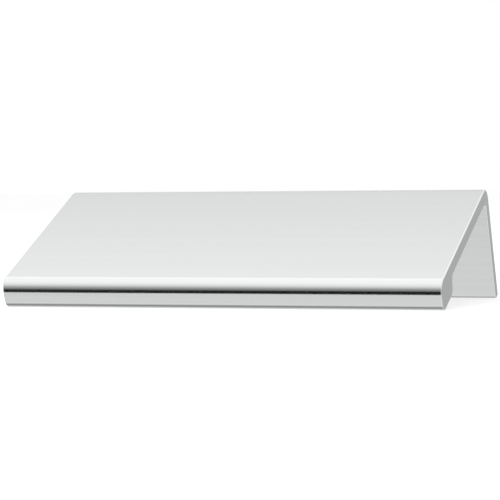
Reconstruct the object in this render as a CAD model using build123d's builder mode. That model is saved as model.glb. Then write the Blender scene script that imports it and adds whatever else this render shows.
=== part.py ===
"""Tab pull: one length of extruded aluminium, cut square, with its fixing holes drilled.

The section has a thin flange that is screwed to the back of a door or drawer front, a plate
at a right angle to it that reaches forward over the panel's edge, and a thicker rounded lip
that hangs from the front of the plate. Fingers go up behind the lip.

Frame: X runs along the pull, -Y is the front (the lip), +Y is the back (the flange), +Z is up.
The pull stands as it does on a table, on the flange's lower edge and the lip, so the plate
falls towards the front. The origin is at the middle of its footprint.
"""
import math
import os

from build123d import *

# Cut length
length = 100.0

# Section, over its flat faces, before its corners are rounded
depth = 50.0
flange_height = 28.0
flange_thickness = 2.2
plate_thickness = 3.2
lip_depth = 9.8
lip_height = 6.9

# Radii of the section
top_outer_radius = 3.2
top_inner_radius = 1.2
lip_front_radius = 2.7
lip_tip_radius = 2.0
lip_back_radius = 2.0
lip_root_radius = 1.5
flange_edge_radius = 0.8

# The lip's back face is the lip's height less the plate, and its two radii stay inside it
lip_back_share = 0.55
lip_root_share = 0.42

# Sawn ends
end_chamfer = 0.3

# Screw holes through the flange, countersunk at its back
hole_spacing = 64.0
hole_diameter = 4.0
sink_diameter = 6.8
sink_angle = 90.0
hole_drop = 16.5

lip_back_height = lip_height - plate_thickness
lip_back_rounding = min(lip_back_radius, lip_back_share * lip_back_height)
lip_root_rounding = min(lip_root_radius, lip_root_share * lip_back_height)

# Centres of the two round edges that touch the table, with the flange's back at 0
# and the plate's top at 0: back is positive along the plate, up is positive off it
flange_foot = (-flange_thickness + flange_edge_radius, -flange_height + flange_edge_radius)
lip_tip = (-depth + lip_tip_radius, -lip_height + lip_tip_radius)

# The table is the line that touches both round edges from below
foot_gap = math.dist(flange_foot, lip_tip)
foot_rise = math.atan2(lip_tip[1] - flange_foot[1], flange_foot[0] - lip_tip[0])
rest_angle = foot_rise - math.asin((lip_tip_radius - flange_edge_radius) / foot_gap)
rest_cos = math.cos(rest_angle)
rest_sin = math.sin(rest_angle)


def turned(along, off):
    """Return the (Y, Z) of a point of the section, turned by the rest angle about the top corner."""
    return along * rest_cos - off * rest_sin, along * rest_sin + off * rest_cos


# Round edges at the section's front and back limits, which centre it on the footprint
front_edge_y = turned(-depth + lip_front_radius, -lip_front_radius)[0] - lip_front_radius
back_edge_y = turned(-flange_edge_radius, flange_foot[1])[0] + flange_edge_radius
corner_y = -(front_edge_y + back_edge_y) / 2
corner_z = flange_edge_radius - turned(*flange_foot)[1]

back_direction = (0, rest_cos, rest_sin)
section_plane = Plane(origin=(-length / 2, corner_y, corner_z), x_dir=back_direction, z_dir=(1, 0, 0))

# Corners of the section with their radii, going round from the top of the flange's back
section_corners = [
    ((0, 0), top_outer_radius),
    ((-depth, 0), lip_front_radius),
    ((-depth, -lip_height), lip_tip_radius),
    ((-depth + lip_depth, -lip_height), lip_back_rounding),
    ((-depth + lip_depth, -plate_thickness), lip_root_rounding),
    ((-flange_thickness, -plate_thickness), top_inner_radius),
    ((-flange_thickness, -flange_height), flange_edge_radius),
    ((0, -flange_height), flange_edge_radius),
]

hole_centre = section_plane.from_local_coords((0, -hole_drop, length / 2))
hole_plane = Plane(origin=hole_centre, x_dir=(1, 0, 0), z_dir=back_direction)

with BuildPart() as pull_profile:
    with BuildSketch(section_plane) as section:
        with BuildLine():
            Polyline(*[corner for corner, radius in section_corners], close=True)
        make_face()
        for corner, radius in section_corners:
            fillet(section.vertices().sort_by_distance(corner)[0], radius)
    extrude(amount=length)

    # The saw's burr is broken all round both ends
    chamfer(pull_profile.faces().filter_by(Axis.X).edges(), end_chamfer)

    # Screw holes, drilled and countersunk square to the flange from its back
    with Locations(hole_plane):
        with GridLocations(hole_spacing, 0, 2, 1):
            CounterSinkHole(hole_diameter / 2, sink_diameter / 2, flange_thickness, sink_angle)

pull_profile.part.label = "pull_profile"

os.makedirs("parts", exist_ok=True)
export_step(pull_profile.part, "parts/pull_profile.step")

box = pull_profile.part.bounding_box()
print("size", round(box.size.X, 3), round(box.size.Y, 3), round(box.size.Z, 3))
print("y from", round(box.min.Y, 3), "to", round(box.max.Y, 3), "and lowest", round(box.min.Z, 4))
print("rest angle", round(math.degrees(rest_angle), 2), "volume", round(pull_profile.part.volume, 1))
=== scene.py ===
"""Looks of the tab pull: a cut length of aluminium extrusion, satin anodised, on a pale table.

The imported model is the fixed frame. One piece stands for its node pull_profile: the same section
with its rounded corners in fine steps, its two sawn ends with the burr taken off, and its two
countersunk screw holes. X runs along the pull, -Y is the front, +Z is up, and the unit is the metre.
"""
import logging
import math
from dataclasses import dataclass, field
from enum import Enum
from typing import Any, Callable

import bmesh
import bpy
from mathutils import Matrix, Vector

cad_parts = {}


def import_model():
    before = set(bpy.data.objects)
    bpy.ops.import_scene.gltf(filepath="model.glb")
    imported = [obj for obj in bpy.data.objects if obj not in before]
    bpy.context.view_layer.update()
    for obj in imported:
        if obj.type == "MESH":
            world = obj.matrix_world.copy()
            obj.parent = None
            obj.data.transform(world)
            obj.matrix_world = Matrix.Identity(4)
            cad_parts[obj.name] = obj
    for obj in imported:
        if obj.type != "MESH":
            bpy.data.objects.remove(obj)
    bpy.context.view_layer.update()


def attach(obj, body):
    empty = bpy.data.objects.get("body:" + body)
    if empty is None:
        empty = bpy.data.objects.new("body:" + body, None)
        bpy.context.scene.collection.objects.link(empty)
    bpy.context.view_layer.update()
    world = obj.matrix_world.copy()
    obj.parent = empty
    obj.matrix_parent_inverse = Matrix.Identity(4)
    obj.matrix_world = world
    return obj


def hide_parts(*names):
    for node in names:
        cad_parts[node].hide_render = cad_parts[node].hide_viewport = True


LOG = logging.getLogger("tab_pull")
MM = 0.001
PULL_NODE = "pull_profile"


class Cut(Enum):
    """How a face of the pull was made. The value is the place of its finish on the mesh."""

    EXTRUDED = 0
    SAWN = 1
    DRILLED = 2


def linear_colour(hex_colour: str) -> tuple[float, float, float, float]:
    """Turn an sRGB hex colour into the linear colour that a node takes.

    Args:
        hex_colour: The colour as six hex digits, with or without a leading #.

    Returns:
        Linear red, green and blue, and an alpha of 1.
    """
    digits = hex_colour.lstrip("#")
    channels = (int(digits[start:start + 2], 16) / 255 for start in (0, 2, 4))
    red, green, blue = (
        value / 12.92 if value <= 0.04045 else ((value + 0.055) / 1.055) ** 2.4 for value in channels
    )
    return red, green, blue, 1.0


def add_node(
    tree: bpy.types.NodeTree,
    kind: str,
    inputs: dict[str | int, Any] | None = None,
    **settings: Any,
) -> bpy.types.Node:
    """Add a node to a tree, with its settings, input values and links.

    Args:
        tree: The node tree of a material, lamp or world.
        kind: The node's Blender type name.
        inputs: For each input, by name or place, a value or the output socket to link to it.
        **settings: The node's own properties.

    Returns:
        The new node.
    """
    node = tree.nodes.new(kind)
    for name, value in settings.items():
        setattr(node, name, value)
    for name, value in (inputs or {}).items():
        if isinstance(value, bpy.types.NodeSocket):
            tree.links.new(value, node.inputs[name])
        else:
            node.inputs[name].default_value = value
    return node


def new_tree(owner: bpy.types.Material | bpy.types.World) -> bpy.types.NodeTree:
    """Return the owner's node tree, switched on and emptied."""
    owner.use_nodes = True
    owner.node_tree.nodes.clear()
    return owner.node_tree


def wave_scale(spacing: float) -> float:
    """Return the wave pattern's scale for a spacing in millimetres.

    Args:
        spacing: How far apart the waves are, in millimetres.

    Returns:
        The scale for a pattern laid out in metres. At a scale of 1 its waves are a twentieth of
        a full turn apart.
    """
    return 2 * math.pi / 20 / (spacing * MM)


def dress_as_metal(
    tree: bpy.types.NodeTree,
    colours: tuple[str, str],
    colour_share: bpy.types.NodeSocket,
    roughness: bpy.types.NodeSocket | float,
    height: bpy.types.NodeSocket,
    relief: float,
) -> None:
    """Close a material's tree as anodised metal.

    Args:
        tree: The material's node tree, which already holds its patterns.
        colours: The two hex colours that the metal runs between.
        colour_share: The pattern that mixes in the second colour.
        roughness: The roughness, or the pattern that gives it.
        height: The pattern that gives the surface its relief.
        relief: How high that pattern stands, in millimetres.
    """
    first, second = (linear_colour(colour) for colour in colours)
    colour = add_node(
        tree, "ShaderNodeMix", {"Factor": colour_share, 6: first, 7: second}, data_type="RGBA"
    ).outputs[2]
    normal = add_node(
        tree, "ShaderNodeBump", {"Height": height, "Strength": 1.0, "Distance": relief * MM}
    ).outputs["Normal"]
    shader = add_node(
        tree, "ShaderNodeBsdfPrincipled",
        {"Base Color": colour, "Metallic": 1.0, "Roughness": roughness, "Normal": normal},
    )
    add_node(tree, "ShaderNodeOutputMaterial", {"Surface": shader.outputs["BSDF"]})


@dataclass(frozen=True)
class Corner:
    """One rounded corner of the section, in millimetres in the section's own plane."""

    along: float
    off: float
    radius: float


@dataclass
class Section:
    """The extruded section: flange, plate and lip. Sizes are in millimetres over its flat faces.

    Its own plane has 0, 0 at the sharp corner of the flange's back and the plate's top. Back is
    positive along the plate and up is positive off it.
    """

    depth: float = 50.0
    flange_height: float = 28.0
    flange_thickness: float = 2.2
    plate_thickness: float = 3.2
    lip_depth: float = 9.8
    lip_height: float = 6.9
    top_outer_radius: float = 3.2
    top_inner_radius: float = 1.2
    lip_front_radius: float = 2.7
    lip_tip_radius: float = 2.0
    lip_back_radius: float = 2.0
    lip_root_radius: float = 1.5
    flange_edge_radius: float = 0.8
    corner_steps: int = 18
    rest_angle: float = field(init=False)
    corner_y: float = field(init=False)
    corner_z: float = field(init=False)

    def __post_init__(self) -> None:
        """Work out how the section stands on the table, on the flange's edge and the lip."""
        edge = self.flange_edge_radius
        foot = (-self.flange_thickness + edge, -self.flange_height + edge)
        tip = (-self.depth + self.lip_tip_radius, -self.lip_height + self.lip_tip_radius)
        rise = math.atan2(tip[1] - foot[1], foot[0] - tip[0])
        self.rest_angle = rise - math.asin((self.lip_tip_radius - edge) / math.dist(foot, tip))
        self.corner_y = self.corner_z = 0.0
        front = self.placed(-self.depth + self.lip_front_radius, -self.lip_front_radius)[0]
        back = self.placed(-edge, foot[1])[0]
        self.corner_y = -(front - self.lip_front_radius + back + edge) / 2
        self.corner_z = edge - self.placed(*foot)[1]

    def placed(self, along: float, off: float) -> tuple[float, float]:
        """Return the Y and Z in the frame, in millimetres, of a point of the section."""
        cos, sin = math.cos(self.rest_angle), math.sin(self.rest_angle)
        return self.corner_y + along * cos - off * sin, self.corner_z + along * sin + off * cos

    def back_direction(self) -> Vector:
        """Return the way that the flange's back faces, in the frame."""
        return Vector((0.0, math.cos(self.rest_angle), math.sin(self.rest_angle)))

    def corners(self) -> list[Corner]:
        """Return the corners in order, going round from the top of the flange's back."""
        lip_back = -self.depth + self.lip_depth
        return [
            Corner(0.0, 0.0, self.top_outer_radius),
            Corner(-self.depth, 0.0, self.lip_front_radius),
            Corner(-self.depth, -self.lip_height, self.lip_tip_radius),
            Corner(lip_back, -self.lip_height, self.lip_back_radius),
            Corner(lip_back, -self.plate_thickness, self.lip_root_radius),
            Corner(-self.flange_thickness, -self.plate_thickness, self.top_inner_radius),
            Corner(-self.flange_thickness, -self.flange_height, self.flange_edge_radius),
            Corner(0.0, -self.flange_height, self.flange_edge_radius),
        ]

    def outline(self, inset: float) -> list[tuple[float, float]]:
        """Return the section's closed outline, placed in the frame.

        Args:
            inset: How far inside the metal's surface the outline runs, in millimetres.

        Returns:
            Y and Z of each point in millimetres, the same count for any inset.
        """
        corners = self.corners()
        points = []
        for place, corner in enumerate(corners):
            here = Vector((corner.along, corner.off))
            before, after = corners[place - 1], corners[(place + 1) % len(corners)]
            to_before = (Vector((before.along, before.off)) - here).normalized()
            to_after = (Vector((after.along, after.off)) - here).normalized()
            centre = here + (to_before + to_after) * corner.radius
            hollow = to_before.cross(to_after) > 0
            radius = corner.radius + (inset if hollow else -inset)
            for step in range(self.corner_steps + 1):
                turn = math.pi / 2 * step / self.corner_steps
                ray = to_after * math.cos(turn) + to_before * math.sin(turn)
                points.append(self.placed(*(centre - ray * radius)))
        return points


@dataclass
class ScrewHoles:
    """Two countersunk screw holes through the flange. Sizes are in millimetres."""

    spacing: float = 64.0
    drop: float = 16.5
    diameter: float = 4.0
    sink_diameter: float = 6.8
    mouth_break: float = 0.12
    # How far the cutter runs out past both faces of the flange
    past_face: float = 0.6
    # How far outside the hole a face's middle may lie and still be its wall
    slack: float = 0.05
    sides: int = 72

    def axes(self, section: Section) -> list[Vector]:
        """Return where each hole's axis meets the flange's back, in millimetres."""
        y, z = section.placed(0.0, -self.drop)
        return [Vector((side * self.spacing / 2, y, z)) for side in (-1, 1)]

    def cutter(self, section: Section) -> bpy.types.Mesh:
        """Turn the metal that the drill and the countersink take out of both holes.

        Args:
            section: The section whose flange is drilled.

        Returns:
            A mesh of two closed turned solids, in millimetres.
        """
        hole, sink, past = self.diameter / 2, self.sink_diameter / 2, self.past_face
        mouth, front = self.mouth_break, -section.flange_thickness
        turned = [
            (hole + mouth + past, front - past),
            (hole, front + mouth),
            (hole, hole - sink),
            (sink + past, past),
        ]
        stand = Vector((0, 0, 1)).rotation_difference(section.back_direction()).to_matrix().to_4x4()
        cutter = bmesh.new()
        for axis in self.axes(section):
            rings = []
            for radius, height in turned:
                angles = (2 * math.pi * side / self.sides for side in range(self.sides))
                rings.append([
                    cutter.verts.new(
                        Matrix.Translation(axis) @ stand
                        @ Vector((radius * math.cos(a), radius * math.sin(a), height))
                    )
                    for a in angles
                ])
            for lower, upper in zip(rings, rings[1:]):
                for side in range(self.sides):
                    after = (side + 1) % self.sides
                    cutter.faces.new((lower[side], lower[after], upper[after], upper[side]))
            cutter.faces.new(rings[0][::-1])
            cutter.faces.new(rings[-1])
        mesh = bpy.data.meshes.new("hole_cutter")
        cutter.to_mesh(mesh)
        cutter.free()
        return mesh

    def holds(self, point: Vector, section: Section) -> bool:
        """Return whether a point lies in either hole or its countersink.

        Args:
            point: The point, in millimetres.
            section: The section whose flange is drilled.

        Returns:
            True where the point is within the countersink's width and the flange's thickness.
        """
        along = section.back_direction()
        for axis in self.axes(section):
            offset = point - axis
            height = offset.dot(along)
            in_width = (offset - along * height).length < self.sink_diameter / 2 + self.slack
            if in_width and height > -section.flange_thickness - self.slack:
                return True
        return False


@dataclass(frozen=True)
class SatinAnodising:
    """Extruded aluminium, etched and clear anodised: even, silky, with faint lines of the die.

    The etch leaves a fine satin that blurs what it mirrors a little, and the lines run with the
    length, so the plate looks even and the rounded lip still carries a crisp dark line.
    """

    name: str = "satin_anodised_extrusion"
    colour: str = "#E4E7E5"
    streak_colour: str = "#E0E3E1"
    roughness: float = 0.18
    roughness_spread: float = 0.02
    # Lines left by a die are about 0.1 mm apart. Here they are 0.35 mm, so that they show.
    line_spacing: float = 0.35
    line_length: float = 90.0
    line_height: float = 0.0009
    # The die leaves broad streaks too, barely lighter and darker than each other
    streak_width: float = 3.18

    def material(self) -> bpy.types.Material:
        """Return the finish as a node material."""
        material = bpy.data.materials.new(self.name)
        tree = new_tree(material)
        place = add_node(tree, "ShaderNodeTexCoord").outputs["Object"]
        along, across = 1 / (self.line_length * MM), 1 / (self.line_spacing * MM)
        stretched = add_node(
            tree, "ShaderNodeMapping", {"Vector": place, "Scale": (along, across, across)}
        ).outputs["Vector"]
        lines = add_node(
            tree, "ShaderNodeTexNoise",
            {"Vector": stretched, "Scale": 1.0, "Detail": 3.0, "Roughness": 0.6},
        ).outputs["Fac"]
        streaks = add_node(
            tree, "ShaderNodeTexNoise",
            {
                "Vector": stretched, "Scale": self.line_spacing / self.streak_width,
                "Detail": 2.0, "Roughness": 0.5,
            },
        ).outputs["Fac"]
        roughness = add_node(
            tree, "ShaderNodeMapRange",
            {
                "Value": lines,
                "From Min": 0.3, "From Max": 0.7,
                "To Min": self.roughness - self.roughness_spread,
                "To Max": self.roughness + self.roughness_spread,
            },
        ).outputs["Result"]
        colours = (self.streak_colour, self.colour)
        dress_as_metal(tree, colours, streaks, roughness, lines, self.line_height)
        return material


@dataclass(frozen=True)
class SawnAnodising:
    """Aluminium sawn across and anodised with the rest: greyer and duller than the drawn faces.

    The blade leaves shallow arcs of one large radius, which spread the light along them.
    """

    name: str = "anodised_saw_cut"
    colour: str = "#D3D7D5"
    groove_colour: str = "#C9CDCB"
    roughness: float = 0.5
    # A fine tooth leaves marks about 0.1 mm apart. Here they are 0.3 mm, so that they show.
    mark_spacing: float = 0.3
    mark_height: float = 0.0025
    # Y and Z of the blade's axle, which the marks run round
    blade_centre: tuple[float, float] = (96.0, -128.0)
    # The etch leaves a grain of about 0.05 mm. Here it is 0.19 mm, so that it shows.
    grain_size: float = 0.1923
    grain_share: float = 0.5

    def material(self) -> bpy.types.Material:
        """Return the finish as a node material."""
        material = bpy.data.materials.new(self.name)
        tree = new_tree(material)
        place = add_node(tree, "ShaderNodeTexCoord").outputs["Object"]
        blade_y, blade_z = self.blade_centre
        from_blade = add_node(
            tree, "ShaderNodeMapping",
            {"Vector": place, "Location": (0.0, -blade_y * MM, -blade_z * MM)},
        ).outputs["Vector"]
        marks = add_node(
            tree, "ShaderNodeTexWave",
            {
                "Vector": from_blade, "Scale": wave_scale(self.mark_spacing),
                "Distortion": 1.6, "Detail": 2.0, "Detail Scale": 0.6,
            },
            wave_type="RINGS", rings_direction="X",
        ).outputs["Fac"]
        grain = add_node(
            tree, "ShaderNodeTexNoise",
            {"Vector": place, "Scale": 1 / (self.grain_size * MM), "Detail": 2.0},
        ).outputs["Fac"]
        height = add_node(
            tree, "ShaderNodeMath", {0: grain, 1: self.grain_share, 2: marks},
            operation="MULTIPLY_ADD",
        ).outputs["Value"]
        colours = (self.groove_colour, self.colour)
        dress_as_metal(tree, colours, marks, self.roughness, height, self.mark_height)
        return material


@dataclass(frozen=True)
class DrilledAnodising:
    """Aluminium drilled and countersunk, then anodised: fine turned rings round each hole."""

    name: str = "anodised_drilled_hole"
    colour: str = "#DCDFDD"
    ring_colour: str = "#D2D5D3"
    roughness: float = 0.26
    # A countersink leaves rings about 0.08 mm apart. Here they are 0.2 mm, so that they show.
    ring_spacing: float = 0.2
    ring_height: float = 0.002

    def material(self, hole_tilt: float) -> bpy.types.Material:
        """Return the finish as a node material.

        Args:
            hole_tilt: How far the holes lean up towards the back, in radians.

        Returns:
            The material, with its rings square to the holes.
        """
        material = bpy.data.materials.new(self.name)
        tree = new_tree(material)
        place = add_node(tree, "ShaderNodeTexCoord").outputs["Object"]
        upright = add_node(
            tree, "ShaderNodeVectorRotate", {"Vector": place, "Angle": -hole_tilt},
            rotation_type="X_AXIS",
        ).outputs["Vector"]
        rings = add_node(
            tree, "ShaderNodeTexWave",
            {
                "Vector": upright, "Scale": wave_scale(self.ring_spacing),
                "Distortion": 0.8, "Detail": 1.0,
            },
            wave_type="BANDS", bands_direction="Y",
        ).outputs["Fac"]
        colours = (self.ring_colour, self.colour)
        dress_as_metal(tree, colours, rings, self.roughness, rings, self.ring_height)
        return material


@dataclass
class PullProfile:
    """The whole pull: one length of the section, sawn at both ends and drilled."""

    length: float = 100.0
    end_round: float = 0.3
    end_steps: int = 5
    smooth_up_to: float = math.radians(28)
    # How square to the pull's length a saw cut is, and how square to the holes the flange is
    sawn_above: float = 0.999
    flat_above: float = 0.95
    section: Section = field(default_factory=Section)
    holes: ScrewHoles = field(default_factory=ScrewHoles)
    extruded: SatinAnodising = field(default_factory=SatinAnodising)
    sawn: SawnAnodising = field(default_factory=SawnAnodising)
    drilled: DrilledAnodising = field(default_factory=DrilledAnodising)

    def stations(self) -> list[tuple[float, float]]:
        """Return the rings from the left end to the right, as X and inset in millimetres."""
        left = []
        for step in range(self.end_steps + 1):
            turn = math.pi / 2 * step / self.end_steps
            back = self.end_round * (1 - math.sin(turn))
            left.append((-self.length / 2 + self.end_round - self.end_round * math.cos(turn), back))
        return left + [(-x, inset) for x, inset in reversed(left)]

    def bar_mesh(self) -> bpy.types.Mesh:
        """Build the sawn length, before it is drilled.

        Returns:
            A closed mesh of rings of the section in millimetres, with a flat cap at each end.
        """
        bar = bmesh.new()
        rings = []
        for x, inset in self.stations():
            outline = self.section.outline(inset)
            rings.append([bar.verts.new((x, y, z)) for y, z in outline])
        count = len(rings[0])
        for left, right in zip(rings, rings[1:]):
            for place in range(count):
                after = (place + 1) % count
                bar.faces.new((left[place], left[after], right[after], right[place]))
        caps = [bar.faces.new(rings[0][::-1]), bar.faces.new(rings[-1])]
        # A new face has no normal yet, and without one its triangles fold over each other
        for cap in caps:
            cap.normal_update()
        bmesh.ops.triangulate(bar, faces=caps)
        bmesh.ops.recalc_face_normals(bar, faces=bar.faces)
        mesh = bpy.data.meshes.new(PULL_NODE + "_bar")
        bar.to_mesh(mesh)
        bar.free()
        return mesh

    def drilled_mesh(self) -> bpy.types.Mesh:
        """Return the sawn length in millimetres, with both screw holes cut through its flange."""
        bar = bpy.data.objects.new("bar", self.bar_mesh())
        cutter = bpy.data.objects.new("cutter", self.holes.cutter(self.section))
        for helper in (bar, cutter):
            bpy.context.scene.collection.objects.link(helper)
        drill = bar.modifiers.new("drill", "BOOLEAN")
        drill.operation, drill.object, drill.solver = "DIFFERENCE", cutter, "EXACT"
        bpy.context.view_layer.update()
        graph = bpy.context.evaluated_depsgraph_get()
        mesh = bpy.data.meshes.new_from_object(bar.evaluated_get(graph))
        for helper in (bar, cutter):
            bpy.data.objects.remove(helper)
        mesh.name = PULL_NODE + "_mesh"
        return mesh

    def cut_of(self, face: bpy.types.MeshPolygon) -> Cut:
        """Return how a face of the drilled length was made."""
        flat = abs(face.normal.dot(self.section.back_direction())) > self.flat_above
        if not flat and self.holes.holds(face.center, self.section):
            return Cut.DRILLED
        return Cut.SAWN if abs(face.normal.x) > self.sawn_above else Cut.EXTRUDED

    def build(self) -> bpy.types.Object:
        """Build the pull, dress it, and put it in the place of its node.

        Returns:
            The finished piece.
        """
        mesh = self.drilled_mesh()
        pull = bpy.data.objects.new("tab_pull_profile", mesh)
        bpy.context.scene.collection.objects.link(pull)
        mesh.materials.clear()
        finishes = {
            Cut.EXTRUDED: self.extruded.material(),
            Cut.SAWN: self.sawn.material(),
            Cut.DRILLED: self.drilled.material(self.section.rest_angle),
        }
        for cut in Cut:
            mesh.materials.append(finishes[cut])
        for face in mesh.polygons:
            face.material_index = self.cut_of(face).value
            face.use_smooth = True
        mesh.set_sharp_from_angle(angle=self.smooth_up_to)
        # The sizes are in millimetres up to here, and the frame is in metres
        mesh.transform(Matrix.Scale(MM, 4))
        normals = pull.modifiers.new("flat_faces_stay_flat", "WEIGHTED_NORMAL")
        normals.keep_sharp = True
        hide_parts(PULL_NODE)
        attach(pull, "root")
        return pull


@dataclass
class LightTent:
    """White tent with a dark front on its left: what the metal mirrors.

    Each list gives the tent's brightness at an angle in degrees, measured across the pull from
    the front horizon, 0, up over the top, 90, to the back horizon, 180. Below the front horizon
    the angles are negative. Left is the middle and the left half, right is the right half, and
    side is what lies towards the pull's ends. Straight out from the ends the tent goes from its
    lower brightness to its upper one over the end heights. Each "from" gives the two shares of X
    in the direction between which that part takes over. Fill is the even light on whatever
    doesn't mirror the tent.
    """

    left: tuple[tuple[float, float], ...] = (
        (-180, 0.85), (-140, 0.8), (-118, 0.5), (-104, 0.3), (-84, 0.34), (-70, 0.88), (-56, 0.84),
        (-51, 0.86), (-48.5, 1.02), (-46.3, 0.6), (-44, 0.0), (-16.5, 0.0), (-13.5, 0.15),
        (-4, 0.29), (8, 0.44), (18, 0.67), (28, 0.87), (38, 1.0), (50, 1.1), (68, 1.18),
        (98, 1.2), (127, 1.31), (133, 0.56), (139, 0.86), (147, 0.94), (180, 0.85),
    )
    right: tuple[tuple[float, float], ...] = (
        (-180, 0.55), (-140, 0.68), (-104, 0.72), (-70, 0.98), (-50, 0.94), (-30, 0.74), (8, 0.7),
        (38, 0.9), (68, 1.14), (98, 1.2), (127, 1.2), (152, 1.16), (166, 0.66), (180, 0.55),
    )
    side: tuple[tuple[float, float], ...] = (
        (-180, 0.38), (-120, 0.5), (-60, 0.85), (-46, 0.7), (-30, 0.45), (-12, 0.42), (8, 0.52),
        (38, 0.85), (68, 1.0), (124, 1.1), (152, 0.9), (168, 0.5), (180, 0.38),
    )
    right_from: tuple[float, float] = (0.06, 0.18)
    side_from: tuple[float, float] = (0.5, 0.68)
    end_from: tuple[float, float] = (0.8, 0.95)
    end_heights: tuple[float, float] = (-0.2, 0.2)
    end_brightness: tuple[float, float] = (0.4, 0.95)
    fill: float = 0.62
    # A curve goes no higher than 1, so it holds each brightness as a share of this one
    brightest: float = 1.35

    def ramp(
        self,
        tree: bpy.types.NodeTree,
        angle: bpy.types.NodeSocket,
        stops: tuple[tuple[float, float], ...],
    ) -> bpy.types.NodeSocket:
        """Add a curve through the stops.

        Args:
            tree: The world's node tree.
            angle: The socket with the angle as a share of a full turn.
            stops: Angles in degrees and the brightness at each.

        Returns:
            The socket with the brightness.
        """
        node = add_node(tree, "ShaderNodeFloatCurve", {"Factor": 1.0, "Value": angle})
        curve = node.mapping.curves[0]
        points = [
            ((degrees + 180) / 360, brightness / self.brightest) for degrees, brightness in stops
        ]
        for at, level in points[1:-1]:
            curve.points.new(at, level)
        curve.points[0].location, curve.points[-1].location = points[0], points[-1]
        for point in curve.points:
            point.handle_type = "VECTOR"
        node.mapping.update()
        return add_node(
            tree, "ShaderNodeMath", {0: node.outputs["Value"], 1: self.brightest},
            operation="MULTIPLY",
        ).outputs["Value"]

    def share(
        self, tree: bpy.types.NodeTree, value: bpy.types.NodeSocket, reach: tuple[float, float]
    ) -> bpy.types.NodeSocket:
        """Add a smooth step from 0 to 1 over the reach, and return its socket."""
        return add_node(
            tree, "ShaderNodeMapRange",
            {"Value": value, "From Min": reach[0], "From Max": reach[1]},
            interpolation_type="SMOOTHSTEP",
        ).outputs["Result"]

    def between(
        self,
        tree: bpy.types.NodeTree,
        share: bpy.types.NodeSocket,
        first: bpy.types.NodeSocket | float,
        second: bpy.types.NodeSocket | float,
    ) -> bpy.types.NodeSocket:
        """Add a blend of two brightnesses, the second by its share, and return its socket."""
        return add_node(
            tree, "ShaderNodeMix", {"Factor": share, 2: first, 3: second}, data_type="FLOAT"
        ).outputs[0]

    def build(self) -> bpy.types.World:
        """Make the world.

        Returns:
            A world that is white to the camera, the tent to metal, and the fill to the rest.
        """
        world = bpy.data.worlds.new("light_tent")
        bpy.context.scene.world = world
        # Sampled as a lamp, the world would give the metal the fill in place of the tent
        world.cycles.sampling_method = "NONE"
        tree = new_tree(world)
        direction = add_node(tree, "ShaderNodeTexCoord").outputs["Generated"]
        parts = add_node(tree, "ShaderNodeSeparateXYZ", {"Vector": direction}).outputs
        forward = add_node(
            tree, "ShaderNodeMath", {0: parts["Y"], 1: -1.0}, operation="MULTIPLY"
        ).outputs["Value"]
        turn = add_node(
            tree, "ShaderNodeMath", {0: parts["Z"], 1: forward}, operation="ARCTAN2"
        ).outputs["Value"]
        angle = add_node(
            tree, "ShaderNodeMapRange", {"Value": turn, "From Min": -math.pi, "From Max": math.pi}
        ).outputs["Result"]
        sideways = add_node(
            tree, "ShaderNodeMath", {0: parts["X"]}, operation="ABSOLUTE"
        ).outputs["Value"]
        ahead = self.between(
            tree, self.share(tree, parts["X"], self.right_from),
            self.ramp(tree, angle, self.left), self.ramp(tree, angle, self.right),
        )
        beside = self.between(
            tree, self.share(tree, sideways, self.side_from),
            ahead, self.ramp(tree, angle, self.side),
        )
        ends = self.between(
            tree, self.share(tree, parts["Z"], self.end_heights), *self.end_brightness
        )
        tent = self.between(tree, self.share(tree, sideways, self.end_from), beside, ends)
        ray = add_node(tree, "ShaderNodeLightPath").outputs
        mirrored = add_node(
            tree, "ShaderNodeMath", {0: ray["Is Glossy Ray"], 1: ray["Is Transmission Ray"]},
            operation="MAXIMUM",
        ).outputs["Value"]
        to_things = self.between(tree, mirrored, self.fill, tent)
        strength = self.between(tree, ray["Is Camera Ray"], to_things, 1.0)
        light = add_node(
            tree, "ShaderNodeBackground", {"Color": linear_colour("#FFFFFF"), "Strength": strength}
        )
        add_node(tree, "ShaderNodeOutputWorld", {"Surface": light.outputs["Background"]})
        return world


@dataclass
class Softbox:
    """A square lamp over the pull, which no metal mirrors. Its size and place are in metres."""

    name: str = "overhead_softbox"
    size: float = 0.7
    place: tuple[float, float, float] = (-0.15, -0.1, 0.9)
    power: float = 3.2

    def build(self) -> bpy.types.Object:
        """Hang the lamp, turned to the pull, and return it."""
        lamp = bpy.data.lights.new(self.name, "AREA")
        lamp.shape, lamp.size, lamp.energy = "SQUARE", self.size, self.power
        softbox = bpy.data.objects.new(self.name, lamp)
        softbox.location = self.place
        softbox.rotation_euler = (-Vector(self.place)).to_track_quat("-Z", "Y").to_euler()
        softbox.visible_glossy = softbox.visible_camera = False
        bpy.context.scene.collection.objects.link(softbox)
        return softbox


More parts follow.
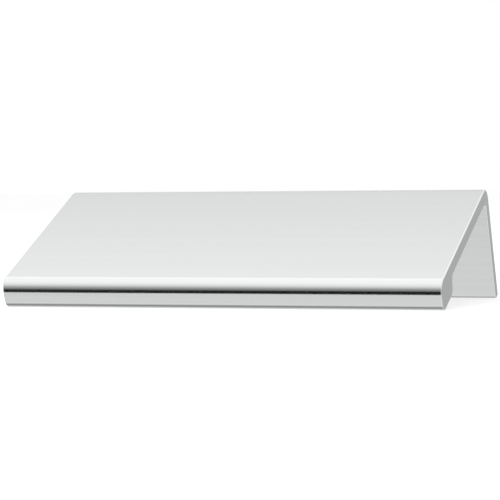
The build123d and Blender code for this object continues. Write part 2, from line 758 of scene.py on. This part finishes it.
@dataclass
class Table:
    """The plain white table top, which keeps a faint shadow of the pull."""

    half_width: float = 4.0
    colour: str = "#B4B4B4"
    # Enough light of its own that the open table is as white as the tent to the camera
    own_light: float = 0.7

    def build(self) -> bpy.types.Object:
        """Lay the table top under the pull.

        Returns:
            The table.
        """
        top = bmesh.new()
        reach = self.half_width
        corners = ((-reach, -reach), (reach, -reach), (reach, reach), (-reach, reach))
        top.faces.new([top.verts.new((x, y, 0.0)) for x, y in corners])
        mesh = bpy.data.meshes.new("table_top")
        top.to_mesh(mesh)
        top.free()
        material = bpy.data.materials.new("white_table")
        tree = new_tree(material)
        shaded = add_node(tree, "ShaderNodeBsdfDiffuse", {"Color": linear_colour(self.colour)})
        ray = add_node(tree, "ShaderNodeLightPath").outputs
        strength = add_node(
            tree, "ShaderNodeMath", {0: ray["Is Camera Ray"], 1: self.own_light},
            operation="MULTIPLY",
        ).outputs["Value"]
        glow = add_node(
            tree, "ShaderNodeEmission", {"Color": linear_colour("#FFFFFF"), "Strength": strength}
        )
        surface = add_node(
            tree, "ShaderNodeAddShader", {0: shaded.outputs["BSDF"], 1: glow.outputs["Emission"]}
        )
        add_node(tree, "ShaderNodeOutputMaterial", {"Surface": surface.outputs["Shader"]})
        mesh.materials.append(material)
        table = bpy.data.objects.new("table_top", mesh)
        bpy.context.scene.collection.objects.link(table)
        table.visible_glossy = False
        return table


@dataclass
class StudioCamera:
    """The camera in front of the pull and to its right, a little above the table.

    Its place is in metres, and its focal length and sensor are in millimetres.
    """

    place: tuple[float, float, float] = (0.16651, -0.51822, 0.02816)
    turn_left: float = math.radians(17.933)
    tilt_up: float = math.radians(-1.711)
    lean: float = math.radians(-0.519)
    focal_length: float = 172.87
    sensor_width: float = 36.0

    def build(self) -> bpy.types.Object:
        """Set the camera up and return it."""
        data = bpy.data.cameras.new("studio_camera")
        data.lens, data.sensor_width = self.focal_length, self.sensor_width
        ahead = Vector((
            -math.sin(self.turn_left) * math.cos(self.tilt_up),
            math.cos(self.turn_left) * math.cos(self.tilt_up),
            math.sin(self.tilt_up),
        ))
        level = Vector((math.cos(self.turn_left), math.sin(self.turn_left), 0.0))
        up = level.cross(ahead)
        right = level * math.cos(self.lean) + up * math.sin(self.lean)
        turned = Matrix((right, right.cross(ahead), -ahead)).transposed().to_4x4()
        camera = bpy.data.objects.new("studio_camera", data)
        camera.matrix_world = Matrix.Translation(self.place) @ turned
        bpy.context.scene.collection.objects.link(camera)
        bpy.context.scene.camera = camera
        return camera


def main() -> None:
    """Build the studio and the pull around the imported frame."""
    logging.basicConfig(level=logging.INFO, format="%(name)s: %(message)s")
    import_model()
    bpy.context.scene.view_settings.view_transform = "Standard"
    studio: list[tuple[str, Callable[[], Any]]] = [
        ("camera", StudioCamera().build),
        ("light tent", LightTent().build),
        ("softbox", Softbox().build),
        ("table", Table().build),
    ]
    for name, build in studio:
        build()
        LOG.info("studio %s is ready", name)
    pull = PullProfile().build()
    LOG.info(
        "piece %s stands for %s: %d points, %d faces",
        pull.name, PULL_NODE, len(pull.data.vertices), len(pull.data.polygons),
    )


if __name__ == "__main__":
    main()
